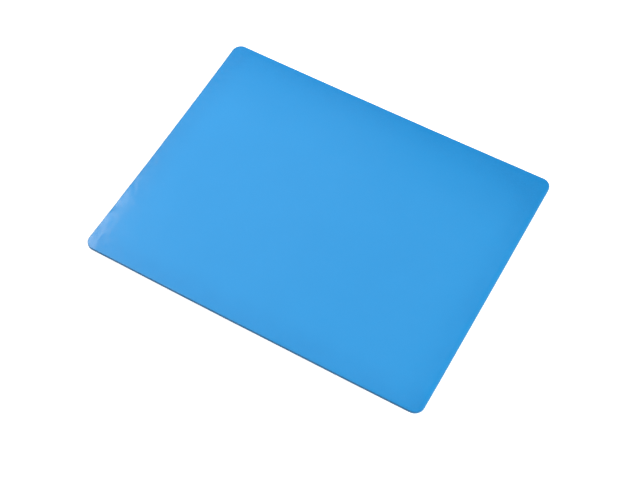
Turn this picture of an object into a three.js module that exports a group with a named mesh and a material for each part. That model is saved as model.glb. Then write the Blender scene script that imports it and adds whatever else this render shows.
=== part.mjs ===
// Anti static bench mat: one flat sheet of blue rubber with four round corners and softened rims.
// Millimetres, +Z up. The origin is the middle of the underside, +X runs along the long sides
// and +Y along the short sides.

import * as THREE from "three";

// Driving dimensions
const MAT_LENGTH = 450;
const MAT_WIDTH = 350;
const MAT_THICKNESS = 4;
const CORNER_RADIUS = 12;
const RIM_RADIUS = 0.5; // softening of the cut side, where it meets the top and the underside

// Flats that the round stretches are made of
const CORNER_FLATS = 16; // round one corner
const RIM_FLATS = 3; // across one softened rim

const MAT_BLUE = 0x44a1e8;
const MAT_ROUGHNESS = 0.55;
const MAT_METALNESS = 0;

const QUARTER_TURN = Math.PI / 2;

// The mat seen from above, drawn anticlockwise from the front right corner. Each arc first draws
// the straight side that leads to it, and closing the path draws the last side.
function matOutline() {
  const centreX = MAT_LENGTH / 2 - CORNER_RADIUS;
  const centreY = MAT_WIDTH / 2 - CORNER_RADIUS;
  const cornerCentres = [
    [centreX, -centreY],
    [centreX, centreY],
    [-centreX, centreY],
    [-centreX, -centreY],
  ];
  const outline = new THREE.Shape();
  cornerCentres.forEach(([x, y], corner) => {
    const start = (corner - 1) * QUARTER_TURN;
    outline.absarc(x, y, CORNER_RADIUS, start, start + QUARTER_TURN);
  });
  outline.closePath();
  return outline;
}

// The whole sheet: the outline drawn up through the thickness. Both rims turn inwards, so the
// upright part of the side is what gives the mat its length and width.
function matSheet() {
  const sheet = new THREE.ExtrudeGeometry(matOutline(), {
    depth: MAT_THICKNESS - 2 * RIM_RADIUS,
    curveSegments: CORNER_FLATS / 2, // an arc is cut into twice as many flats
    bevelThickness: RIM_RADIUS,
    bevelSize: RIM_RADIUS,
    bevelOffset: -RIM_RADIUS,
    bevelSegments: RIM_FLATS,
  });
  return sheet.translate(0, 0, RIM_RADIUS);
}

const rubber = new THREE.MeshStandardMaterial({
  color: MAT_BLUE,
  roughness: MAT_ROUGHNESS,
  metalness: MAT_METALNESS,
});

const mat = new THREE.Mesh(matSheet(), rubber);
mat.name = "mat";

const benchMat = new THREE.Group();
benchMat.add(mat);

export default benchMat;
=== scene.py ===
import math

import bpy
from mathutils import Matrix, Vector, noise


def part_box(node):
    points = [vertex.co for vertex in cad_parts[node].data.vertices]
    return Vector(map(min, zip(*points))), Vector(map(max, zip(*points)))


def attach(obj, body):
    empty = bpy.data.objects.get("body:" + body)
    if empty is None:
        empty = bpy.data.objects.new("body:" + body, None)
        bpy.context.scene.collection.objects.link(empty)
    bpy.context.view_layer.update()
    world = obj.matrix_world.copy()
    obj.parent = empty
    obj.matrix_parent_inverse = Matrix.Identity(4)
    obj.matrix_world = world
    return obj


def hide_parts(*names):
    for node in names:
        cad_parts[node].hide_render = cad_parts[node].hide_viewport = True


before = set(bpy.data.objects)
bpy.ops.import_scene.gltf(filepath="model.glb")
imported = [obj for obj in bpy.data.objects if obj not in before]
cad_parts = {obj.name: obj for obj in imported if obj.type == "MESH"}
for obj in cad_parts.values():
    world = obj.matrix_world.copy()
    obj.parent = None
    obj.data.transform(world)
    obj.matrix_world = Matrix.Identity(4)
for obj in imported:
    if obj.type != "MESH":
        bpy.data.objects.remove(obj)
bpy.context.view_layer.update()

MM = 0.001
SAME_PLACE = 0.001 * MM  # places closer than this are one place

# The sheet's mesh
GRID_STEP = 2.2 * MM  # between the mesh lines of the two faces
CORNER_CELLS = 8  # mesh cells from where a corner starts to turn to its middle
TOP_RIM = 0.5 * MM  # rounding of the moulded edge round the work face
BOTTOM_RIM = 0.2 * MM  # rounding of the cut edge round the underside
RIM_RINGS = 4  # mesh rings across each rounding
SIDE_RINGS = 4  # mesh rings up the upright part of the side
WORK_FACE, CUT_SIDE, UNDERSIDE = range(3)  # the three material slots

# Unevenness of real rubber, always taken off the full size
FAR_BOW = 1.2 * MM  # how far the middle of the side at +Y lies inside its ends
LEFT_BOW = 1.2 * MM  # the same for the side at -X
NEAR_BOW = 0.9 * MM  # how far the ends of the side at -Y lie inside its middle
RIGHT_BOW = 0.3 * MM  # the same for the side at +X
SIDE_WANDER = 0.15 * MM  # small waves along each side
SIDE_WANDER_LENGTH = 50 * MM
HOLLOW_DEPTH = 0.10 * MM  # slow rise and fall of the work face
HOLLOW_LENGTH = 110 * MM
LUMP_DEPTH = 0.04 * MM  # small lumps left by the mould
LUMP_LENGTH = 9 * MM
LEFT_LUMP_DEPTH = 0.26 * MM  # stronger and closer lumps beside the side at -X
LEFT_LUMP_LENGTH = 6.5 * MM
LEFT_LUMP_REACH = 32 * MM  # how far in from that side they go
LEFT_MARGIN = 28 * MM  # width of the strip beside the side at -X where the work face falls away
LEFT_DROP = 0.8 * MM  # how far it falls at that side's near end, less and less towards the far end
MARGIN = 9 * MM  # width of the strip beside each other side where the work face falls away
DROP = 0.15 * MM  # how far it falls there
DROP_WAVE_LENGTH = 24 * MM  # the drops come and go along each side
LEAST_DROP_SHARE = 0.4  # of a drop, where there is least of it along a side
DROP_SHARE_SWING = 1.2  # how much more of it there is where there is most
FALL_POWER = 3  # a fall starts gently and is steepest at the side
WAVE_GAIN = 0.9  # brings the noise, which goes both ways from 0, to about half a unit each way

# Seeds, one for each kind of unevenness
SIDE_X_SEED = 3.1
SIDE_Y_SEED = 7.7
HOLLOW_SEED = 1.3
LUMP_SEED = 5.9
LEFT_LUMP_SEED = 9.1
LEFT_DROP_SEED = 2.2
RIGHT_DROP_SEED = 4.4
LONG_SIDE_DROP_SEED = 6.6  # with a minus sign for the side at -Y

# Tones and painted shade of the work face
SHADE_MARGIN = 45 * MM  # width of the strip of painted shade beside each side, where the work face is darker
SHADE_SHARES = (0.30, 0.55)  # the least and most of the painted shade that comes in there
FAR_SHADE_MARGIN = 110 * MM  # width of a wider strip of painted shade beside the side at +Y
FAR_SHADE_SHARE = 0.45  # how much of the painted shade comes in there
RIGHT_SHADE_SHARE = 0.5  # how much more of the painted shade comes in towards the corner at +X and +Y
EDGE_TONE_MARGIN = 3 * MM  # width of the greyer, less blue line along each side of the work face

# Grain, marks and prints
BLOTCH_SIZE = 70 * MM  # slow changes of tone on the work face
CLOUD_SIZE = 25 * MM  # how the painted shade beside the sides comes and goes
SHINE_SIZE = 14 * MM  # patches of more and less shine on the work face
SPECKLE_SIZE = 1.6 * MM
SPECKLE_DEPTH = 0.005 * MM
PEBBLE_SIZE = 1.3 * MM
PEBBLE_DEPTH = 0.012 * MM
BLADE_MARK_WIDTH = 0.5 * MM
BLADE_MARK_HEIGHT = 6 * MM
BLADE_MARK_DEPTH = 0.03 * MM
SIDE_SHINE_SIZE = 9 * MM
THREAD_STEP = 1.885 * MM  # between the threads of the cloth that left its print on the underside
THREAD_DEPTH = 0.02 * MM
WAVE_PERIOD = math.tau / 20  # of the wave texture at a scale of 1
UNDER_BLOTCH_SIZE = 40 * MM

# Shine
FACE_ROUGHNESS = (0.19, 0.23)
SPECKLE_ROUGHNESS = 0.02  # how much the speckle adds to that or takes off it
FACE_SPECULAR = 0.3
SIDE_ROUGHNESS = (0.45, 0.6)
SIDE_SPECULAR = 0.2
UNDER_ROUGHNESS = (0.6, 0.72)

# Colours, as linear red, green and blue
FACE_BLUE = (0.012, 0.278, 0.648)
FACE_BLUE_DEEP = (0.010, 0.265, 0.624)
# painted shade: the blues of the side and its rounded rims are about half as bright as the face's, standing
# in for the shade on the side at -Y
SHADED_SIDE_BLUE = (0.010, 0.138, 0.305)
SHADED_SIDE_BLUE_DEEP = (0.008, 0.116, 0.262)
# painted shade: the darker blue that the work face takes on beside its sides
SHADED_MARGIN_BLUE = (0.007, 0.215, 0.540)
EDGE_BLUE = (0.045, 0.275, 0.560)
UNDER_BLUE = (0.022, 0.270, 0.600)
UNDER_BLUE_DEEP = (0.018, 0.245, 0.560)
WHITE = (1.0, 1.0, 1.0)

# Floor
FLOOR_HALF = 15  # half its width
FLOOR_WHITE = (0.8, 0.8, 0.8)
FLOOR_ROUGHNESS = 0.9
FLOOR_GLOW = 0.6  # the floor glows as a light table does, so hardly a shadow shows on it

# Lights
STUDIO_BRIGHTNESS = 0.345  # what comes from all round
WINDOW_BRIGHTNESS = 4.6
WINDOW_AZIMUTH = 100
WINDOW_ELEVATION = 12
WINDOW_SPREAD = 20  # how wide the window looks from the mat
CEILING_HEIGHT = 1.2
SIDE_PANEL_HEIGHT = 0.9
PANELS = (
    # name, low x, high x, low y, high y, height and brightness
    ("ceiling", -0.885, -0.35, 0.15, 0.95, CEILING_HEIGHT, 1.6),
    ("ceiling_end", -0.35, 0.06, 0.15, 0.90, CEILING_HEIGHT, 1.3),
    ("ceiling_near", -0.885, -0.50, -0.10, 0.15, CEILING_HEIGHT, 3.0),
    ("ceiling_left", -1.50, -0.885, 0.50, 1.00, CEILING_HEIGHT, 1.9),
    ("sheen", -1.50, -0.885, -0.18, 0.50, CEILING_HEIGHT, 9.3),
    ("side", 0.45, 0.85, -0.60, 0.0, SIDE_PANEL_HEIGHT, 4.8),
)

# The photograph's camera
CAMERA_AZIMUTH = 32.01
CAMERA_ELEVATION = 59.22
CAMERA_ROLL = -2.58
CAMERA_DISTANCE = 1.4843
CAMERA_TARGET_X = 0.0185
CAMERA_TARGET_Y = -0.0329
PHOTO_WIDTH = 640
FOCAL_PIXELS = 1252.7
SENSOR_WIDTH_MM = 36


def direction(azimuth, elevation):
    """Unit vector to a place seen from the mat: azimuth 0 is in front, at -Y, and 90 at +X."""
    turn = math.radians(azimuth)
    rise = math.radians(elevation)
    return Vector((math.sin(turn) * math.cos(rise), -math.cos(turn) * math.cos(rise), math.sin(rise)))


def make_camera(top):
    back = direction(CAMERA_AZIMUTH, CAMERA_ELEVATION)
    target = Vector((CAMERA_TARGET_X, CAMERA_TARGET_Y, top))
    level_right = (-back).cross(Vector((0, 0, 1))).normalized()
    level_up = level_right.cross(-back)
    roll = math.radians(CAMERA_ROLL)
    right = level_right * math.cos(roll) + level_up * math.sin(roll)
    up = level_up * math.cos(roll) - level_right * math.sin(roll)
    turned = Matrix((right, up, back)).transposed().to_4x4()

    lens = bpy.data.cameras.new("photo_camera")
    lens.sensor_fit = "HORIZONTAL"
    lens.sensor_width = SENSOR_WIDTH_MM
    lens.lens = FOCAL_PIXELS / PHOTO_WIDTH * SENSOR_WIDTH_MM
    lens.clip_start = 0.01
    lens.clip_end = 100
    camera = bpy.data.objects.new("photo_camera", lens)
    camera.matrix_world = Matrix.Translation(target + back * CAMERA_DISTANCE) @ turned
    bpy.context.scene.collection.objects.link(camera)
    bpy.context.scene.camera = camera


# The sheet

def line_places(half, corner):
    """Places of a face's mesh lines along one axis, with a line where each corner starts to turn."""
    middle = 2 * (half - corner)
    cells = max(2, round(middle / GRID_STEP))
    inner = [-middle / 2 + middle * step / cells for step in range(cells + 1)]
    outer = [middle / 2 + corner * step / CORNER_CELLS for step in range(1, CORNER_CELLS + 1)]
    return [-place for place in reversed(outer)] + inner + outer


def rounded(x, y, half_x, half_y, corner):
    """The point (x, y) of a square-cornered face, moved so that the face gets round corners."""
    turn_x = half_x - corner
    turn_y = half_y - corner
    if corner <= 0 or abs(x) <= turn_x or abs(y) <= turn_y:
        return x, y
    along = (abs(x) - turn_x) / corner
    across = (abs(y) - turn_y) / corner
    round_x = turn_x + corner * along * math.sqrt(1 - across * across / 2)
    round_y = turn_y + corner * across * math.sqrt(1 - along * along / 2)
    return math.copysign(round_x, x), math.copysign(round_y, y)


def outward(x, y, half_x, half_y, corner):
    """The direction straight out of the sheet's side at the face's border point (x, y)."""
    beyond_x = max(0.0, abs(x) - half_x + corner)
    beyond_y = max(0.0, abs(y) - half_y + corner)
    length = math.hypot(beyond_x, beyond_y)
    return math.copysign(beyond_x / length, x), math.copysign(beyond_y / length, y)


def side_profile(thickness):
    """Steps over the work face's rim, down the side and round the lower rim, as (outwards, height)."""
    quarter_turns = [math.pi / 2 * ring / RIM_RINGS for ring in range(1, RIM_RINGS + 1)]
    upright = thickness - TOP_RIM - BOTTOM_RIM
    steps = []
    for turn in quarter_turns:
        steps.append((TOP_RIM * math.sin(turn), thickness - TOP_RIM * (1 - math.cos(turn))))
    for ring in range(1, SIDE_RINGS + 1):
        steps.append((TOP_RIM, thickness - TOP_RIM - upright * ring / SIDE_RINGS))
    for turn in quarter_turns:
        inwards = BOTTOM_RIM * (1 - math.cos(turn))
        steps.append((TOP_RIM - inwards, BOTTOM_RIM * (1 - math.sin(turn))))
    return steps


def wave(x, y, length, seed):
    """Smooth unevenness from 0 to 1 that repeats about once in a length."""
    value = noise.noise(Vector((x / length, y / length, seed)))
    return min(1.0, max(0.0, 0.5 + WAVE_GAIN * value))


def fall(distance, along, reach, drop, seed):
    """How far the work face has fallen at a distance in from a side, at a place along it."""
    share = max(0.0, 1 - distance / reach) ** FALL_POWER
    return share * drop * (LEAST_DROP_SHARE + DROP_SHARE_SWING * wave(along, 0, DROP_WAVE_LENGTH, seed))


def settle(x, y, z, half_x, half_y, thickness):
    """A point of the ideal sheet, moved by the unevenness of rubber, inwards and downwards only."""
    side_x = 1 if x > 0 else -1
    side_y = 1 if y > 0 else -1
    out_x = x / half_x
    out_y = y / half_y
    bow_x = RIGHT_BOW * out_y ** 2 if x > 0 else LEFT_BOW * (1 - out_y ** 2)
    bow_y = FAR_BOW * (1 - out_x ** 2) if y > 0 else NEAR_BOW * out_x ** 2
    wander_x = SIDE_WANDER * wave(side_x, y, SIDE_WANDER_LENGTH, SIDE_X_SEED)
    wander_y = SIDE_WANDER * wave(x, side_y, SIDE_WANDER_LENGTH, SIDE_Y_SEED)
    inwards_x = (wander_x + bow_x) * out_x ** 2
    inwards_y = (wander_y + bow_y) * out_y ** 2

    left_lumps = LEFT_LUMP_DEPTH * max(0.0, 1 - (half_x + x) / LEFT_LUMP_REACH)
    left_drop = LEFT_DROP * (1 - out_y) / 2
    sink = HOLLOW_DEPTH * wave(x, y, HOLLOW_LENGTH, HOLLOW_SEED)
    sink += LUMP_DEPTH * wave(x, y, LUMP_LENGTH, LUMP_SEED)
    sink += left_lumps * wave(x, y, LEFT_LUMP_LENGTH, LEFT_LUMP_SEED)
    sink += fall(half_x + x, y, LEFT_MARGIN, left_drop, LEFT_DROP_SEED)
    sink += fall(half_x - x, y, MARGIN, DROP, RIGHT_DROP_SEED)
    sink += fall(half_y - abs(y), x, MARGIN, DROP, LONG_SIDE_DROP_SEED * side_y)
    return x - side_x * inwards_x, y - side_y * inwards_y, z - sink * z / thickness


def make_sheet(low, high, corner):
    """The whole sheet as one closed mesh: work face, rounded rim, side, lower rim and underside."""
    thickness = high.z - low.z
    half_x = (high.x - low.x) / 2
    half_y = (high.y - low.y) / 2
    face = (half_x - TOP_RIM, half_y - TOP_RIM, corner - TOP_RIM)
    under = (half_x - BOTTOM_RIM, half_y - BOTTOM_RIM, corner - BOTTOM_RIM)
    lines_x = line_places(face[0], face[2])
    lines_y = line_places(face[1], face[2])
    columns = len(lines_x)
    rows = len(lines_y)

    border = [(i, 0) for i in range(columns - 1)]
    border += [(columns - 1, j) for j in range(rows - 1)]
    border += [(i, rows - 1) for i in range(columns - 1, 0, -1)]
    border += [(0, j) for j in range(rows - 1, 0, -1)]

    plan = [rounded(x, y, *face) for y in lines_y for x in lines_x]
    points = [(x, y, thickness) for x, y in plan]
    rings = [[j * columns + i for i, j in border]]  # points round the sheet, from the work face down
    for out, height in side_profile(thickness)[:-1]:
        rings.append([])
        for i, j in border:
            x, y = plan[j * columns + i]
            out_x, out_y = outward(x, y, *face)
            rings[-1].append(len(points))
            points.append((x + out * out_x, y + out * out_y, height))

    under_start = len(points)
    for y in line_places(under[1], under[2]):
        for x in line_places(under[0], under[2]):
            points.append((*rounded(x, y, *under), 0.0))
    rings.append([under_start + j * columns + i for i, j in border])

    faces = []
    surfaces = []
    for j in range(rows - 1):
        for i in range(columns - 1):
            first = j * columns + i
            cell = [first, first + 1, first + columns + 1, first + columns]
            faces.append(cell)
            surfaces.append(WORK_FACE)
            faces.append([under_start + point for point in reversed(cell)])
            surfaces.append(UNDERSIDE)
    around = len(border)
    for upper, lower in zip(rings, rings[1:]):
        for step in range(around):
            after = (step + 1) % around
            faces.append([upper[step], lower[step], lower[after], upper[after]])
            surfaces.append(CUT_SIDE)

    centre = (low + high) / 2
    moved = [settle(x, y, z, half_x, half_y, thickness) for x, y, z in points]
    mesh = bpy.data.meshes.new("bench_mat")
    mesh.from_pydata([(x + centre.x, y + centre.y, z + low.z) for x, y, z in moved], [], faces)
    mesh.polygons.foreach_set("material_index", surfaces)
    mesh.polygons.foreach_set("use_smooth", [True] * len(faces))
    mesh.update()
    sheet = bpy.data.objects.new("bench_mat", mesh)
    bpy.context.scene.collection.objects.link(sheet)
    return sheet


# Materials

class Nodes:
    """Short calls for building one material's nodes."""

    def __init__(self, name):
        self.material = bpy.data.materials.new(name)
        self.material.use_nodes = True
        self.tree = self.material.node_tree
        self.shader = self.tree.nodes["Principled BSDF"]
        self.place = self.add("ShaderNodeTexCoord").outputs["Object"]

    def add(self, kind, inputs=None, **settings):
        """A new node. The inputs are numbers, colours or other nodes' outputs, by socket."""
        node = self.tree.nodes.new(kind)
        for name, value in settings.items():
            setattr(node, name, value)
        for socket, value in (inputs or {}).items():
            self.put(node.inputs[socket], value)
        return node

    def put(self, socket, value):
        if isinstance(value, bpy.types.NodeSocket):
            self.tree.links.new(value, socket)
        else:
            socket.default_value = value

    def shade(self, **inputs):
        """Sets the shader's own sockets, with an underscore for each space in their names."""
        for name, value in inputs.items():
            self.put(self.shader.inputs[name.replace("_", " ")], value)

    def cloudy(self, size, detail=2.0):
        """Soft noise from 0 to 1 whose blotches are about size across."""
        inputs = {"Vector": self.place, "Scale": 1 / size, "Detail": detail}
        return self.add("ShaderNodeTexNoise", inputs).outputs["Fac"]

    def ranged(self, value, low, high):
        """Soft noise, which mostly keeps between 0.3 and 0.7, laid out from low to high."""
        inputs = {"Value": value, "From Min": 0.3, "From Max": 0.7, "To Min": low, "To Max": high}
        return self.add("ShaderNodeMapRange", inputs).outputs["Result"]

    def mixed(self, share, first, second):
        """A colour between two, each of which is three numbers or another node's output."""
        first, second = ((*c, 1.0) if isinstance(c, tuple) else c for c in (first, second))
        inputs = {"Factor": share, 6: first, 7: second}
        return self.add("ShaderNodeMix", inputs, data_type="RGBA").outputs[2]

    def math(self, operation, *numbers):
        return self.add("ShaderNodeMath", dict(enumerate(numbers)), operation=operation).outputs[0]

    def bumped(self, height, depth, under=None):
        inputs = {"Height": height, "Distance": depth, "Strength": 1.0}
        if under is not None:
            inputs["Normal"] = under
        return self.add("ShaderNodeBump", inputs).outputs["Normal"]


def nearness(n, place, half, margin):
    """How near a place on one axis is to the side at its high end, from 0 outside the margin to 1."""
    inputs = {"Value": place, "From Min": half - margin, "From Max": half}
    return n.add("ShaderNodeMapRange", inputs, interpolation_type="SMOOTHSTEP").outputs["Result"]


def face_tone_and_shade(n, half_x, half_y):
    """Colour of the work face before its speckle: blotches, painted shade beside the sides and a greyer line
    at the edges.
    """
    tone = n.mixed(n.ranged(n.cloudy(BLOTCH_SIZE), 0.1, 0.7), FACE_BLUE, FACE_BLUE_DEEP)
    place = n.add("ShaderNodeSeparateXYZ", {0: n.place})
    from_middle_x = n.math("ABSOLUTE", place.outputs["X"])
    from_middle_y = n.math("ABSOLUTE", place.outputs["Y"])

    near_end = nearness(n, from_middle_x, half_x, SHADE_MARGIN)
    near_long_side = nearness(n, from_middle_y, half_y, SHADE_MARGIN)
    near_side = n.math("ADD", near_end, near_long_side)
    cloud = n.ranged(n.cloudy(CLOUD_SIZE), *SHADE_SHARES)
    side_shade = n.math("MULTIPLY", near_side, cloud)
    near_far_side = nearness(n, place.outputs["Y"], half_y, FAR_SHADE_MARGIN)
    near_right_side = nearness(n, place.outputs["X"], half_x, FAR_SHADE_MARGIN)
    far_share = n.math("MULTIPLY_ADD", near_right_side, RIGHT_SHADE_SHARE, FAR_SHADE_SHARE)
    far_shade = n.math("MULTIPLY", near_far_side, far_share)
    # painted shade: the work face darker beside each side, most of all by the side at +Y and towards the
    # corner at +X and +Y
    tone = n.mixed(n.math("ADD", side_shade, far_shade), tone, SHADED_MARGIN_BLUE)

    # a greyer, less blue line along each side
    edge_x = nearness(n, from_middle_x, half_x, EDGE_TONE_MARGIN)
    edge_y = nearness(n, from_middle_y, half_y, EDGE_TONE_MARGIN)
    return n.mixed(n.math("MAXIMUM", edge_x, edge_y), tone, EDGE_BLUE)


def face_rubber(half_x, half_y):
    """Work face: satin blue with slow tone changes, painted shade beside the sides, fine pebbles and a
    slightly uneven shine.
    """
    n = Nodes("rubber_work_face")
    speckle = n.cloudy(SPECKLE_SIZE, 3.0)
    colour = n.mixed(n.ranged(speckle, 0.0, 0.5), face_tone_and_shade(n, half_x, half_y), FACE_BLUE_DEEP)
    shine = n.ranged(n.cloudy(SHINE_SIZE), *FACE_ROUGHNESS)
    fine_shine = n.ranged(speckle, -SPECKLE_ROUGHNESS, SPECKLE_ROUGHNESS)
    cells = {"Vector": n.place, "Scale": 1 / PEBBLE_SIZE, "Smoothness": 0.6}
    from_pebble = n.add("ShaderNodeTexVoronoi", cells, feature="SMOOTH_F1").outputs["Distance"]
    grain = n.bumped(from_pebble, -PEBBLE_DEPTH)
    n.shade(Base_Color=colour, Roughness=n.math("ADD", shine, fine_shine))
    n.shade(Specular_IOR_Level=FACE_SPECULAR, Normal=n.bumped(speckle, SPECKLE_DEPTH, grain))
    return n.material


def side_rubber():
    """Cut side: duller, and about half as bright as the work face as painted shade, with fine upright marks
    from the cutting blade.
    """
    n = Nodes("rubber_cut_side")
    scale = (1 / BLADE_MARK_WIDTH, 1 / BLADE_MARK_WIDTH, 1 / BLADE_MARK_HEIGHT)
    stretched = n.add("ShaderNodeMapping", {"Vector": n.place, "Scale": scale}).outputs[0]
    noise_inputs = {"Vector": stretched, "Scale": 1.0, "Detail": 2.0}
    marks = n.add("ShaderNodeTexNoise", noise_inputs).outputs["Fac"]
    # painted shade: darker blues than the work face's
    n.shade(Base_Color=n.mixed(n.ranged(marks, 0.0, 0.8), SHADED_SIDE_BLUE, SHADED_SIDE_BLUE_DEEP))
    n.shade(Roughness=n.ranged(n.cloudy(SIDE_SHINE_SIZE), *SIDE_ROUGHNESS))
    n.shade(Specular_IOR_Level=SIDE_SPECULAR, Normal=n.bumped(marks, BLADE_MARK_DEPTH))
    return n.material


def under_rubber():
    """Underside: matt, with the soft print of the cloth that it was pressed on."""
    n = Nodes("rubber_underside")
    print_of_cloth = None
    for axis in ("X", "Y"):
        threads = {"Vector": n.place, "Scale": WAVE_PERIOD / THREAD_STEP, "Distortion": 0.4}
        weave = n.add("ShaderNodeTexWave", threads, bands_direction=axis).outputs["Fac"]
        print_of_cloth = n.bumped(weave, THREAD_DEPTH, print_of_cloth)
    blotches = n.cloudy(UNDER_BLOTCH_SIZE, 4.0)
    n.shade(Base_Color=n.mixed(n.ranged(blotches, 0.0, 1.0), UNDER_BLUE, UNDER_BLUE_DEEP))
    n.shade(Roughness=n.ranged(blotches, *UNDER_ROUGHNESS), Normal=print_of_cloth)
    return n.material


def floor_paint():
    n = Nodes("pale_floor")
    n.shade(Base_Color=(*FLOOR_WHITE, 1.0), Roughness=FLOOR_ROUGHNESS)
    n.shade(Emission_Color=(*WHITE, 1.0), Emission_Strength=FLOOR_GLOW)
    return n.material


# Floor and lights

def make_floor(level):
    half = FLOOR_HALF
    mesh = bpy.data.meshes.new("floor")
    corners = [(-half, -half, level), (half, -half, level), (half, half, level), (-half, half, level)]
    mesh.from_pydata(corners, [], [(0, 1, 2, 3)])
    mesh.materials.append(floor_paint())
    floor = bpy.data.objects.new("floor", mesh)
    bpy.context.scene.collection.objects.link(floor)


def add_lamp(name, kind, energy, matrix):
    light = bpy.data.lights.new(name, kind)
    light.energy = energy
    lamp = bpy.data.objects.new(name, light)
    lamp.matrix_world = matrix
    bpy.context.scene.collection.objects.link(lamp)
    return lamp


def add_window():
    """A broad light from low down at the right."""
    back = direction(WINDOW_AZIMUTH, WINDOW_ELEVATION)
    turned = back.to_track_quat("Z", "Y").to_matrix().to_4x4()
    lamp = add_lamp("window", "SUN", WINDOW_BRIGHTNESS, turned)
    lamp.data.angle = math.radians(WINDOW_SPREAD)


def add_panel(name, low_x, high_x, low_y, high_y, height, brightness):
    """A light panel over the mat, facing straight down. Its size leaves the brightness of its face alone."""
    width = high_x - low_x
    depth = high_y - low_y
    middle = Matrix.Translation(((low_x + high_x) / 2, (low_y + high_y) / 2, height))
    lamp = add_lamp(name, "AREA", brightness * math.pi * width * depth, middle)
    lamp.data.shape = "RECTANGLE"
    lamp.data.size = width
    lamp.data.size_y = depth
    lamp.visible_camera = False


def make_lights():
    world = bpy.data.worlds.new("studio")
    world.use_nodes = True
    background = world.node_tree.nodes["Background"]
    background.inputs["Color"].default_value = (*WHITE, 1.0)
    background.inputs["Strength"].default_value = STUDIO_BRIGHTNESS
    bpy.context.scene.world = world
    add_window()
    for panel in PANELS:
        add_panel(*panel)


def corner_radius(high):
    """Radius of the CAD sheet's corners: its side at +X is straight up to where they start to turn."""
    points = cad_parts["mat"].data.vertices
    on_side = [point.co.y for point in points if point.co.x > high.x - SAME_PLACE]
    return high.y - max(on_side)


def main():
    low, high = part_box("mat")
    make_camera(high.z)

    sheet = make_sheet(low, high, corner_radius(high))
    for material in (face_rubber(high.x, high.y), side_rubber(), under_rubber()):
        sheet.data.materials.append(material)
    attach(sheet, "root")
    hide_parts("mat")

    make_floor(low.z)
    make_lights()
    bpy.context.scene.view_settings.view_transform = "Standard"


main()
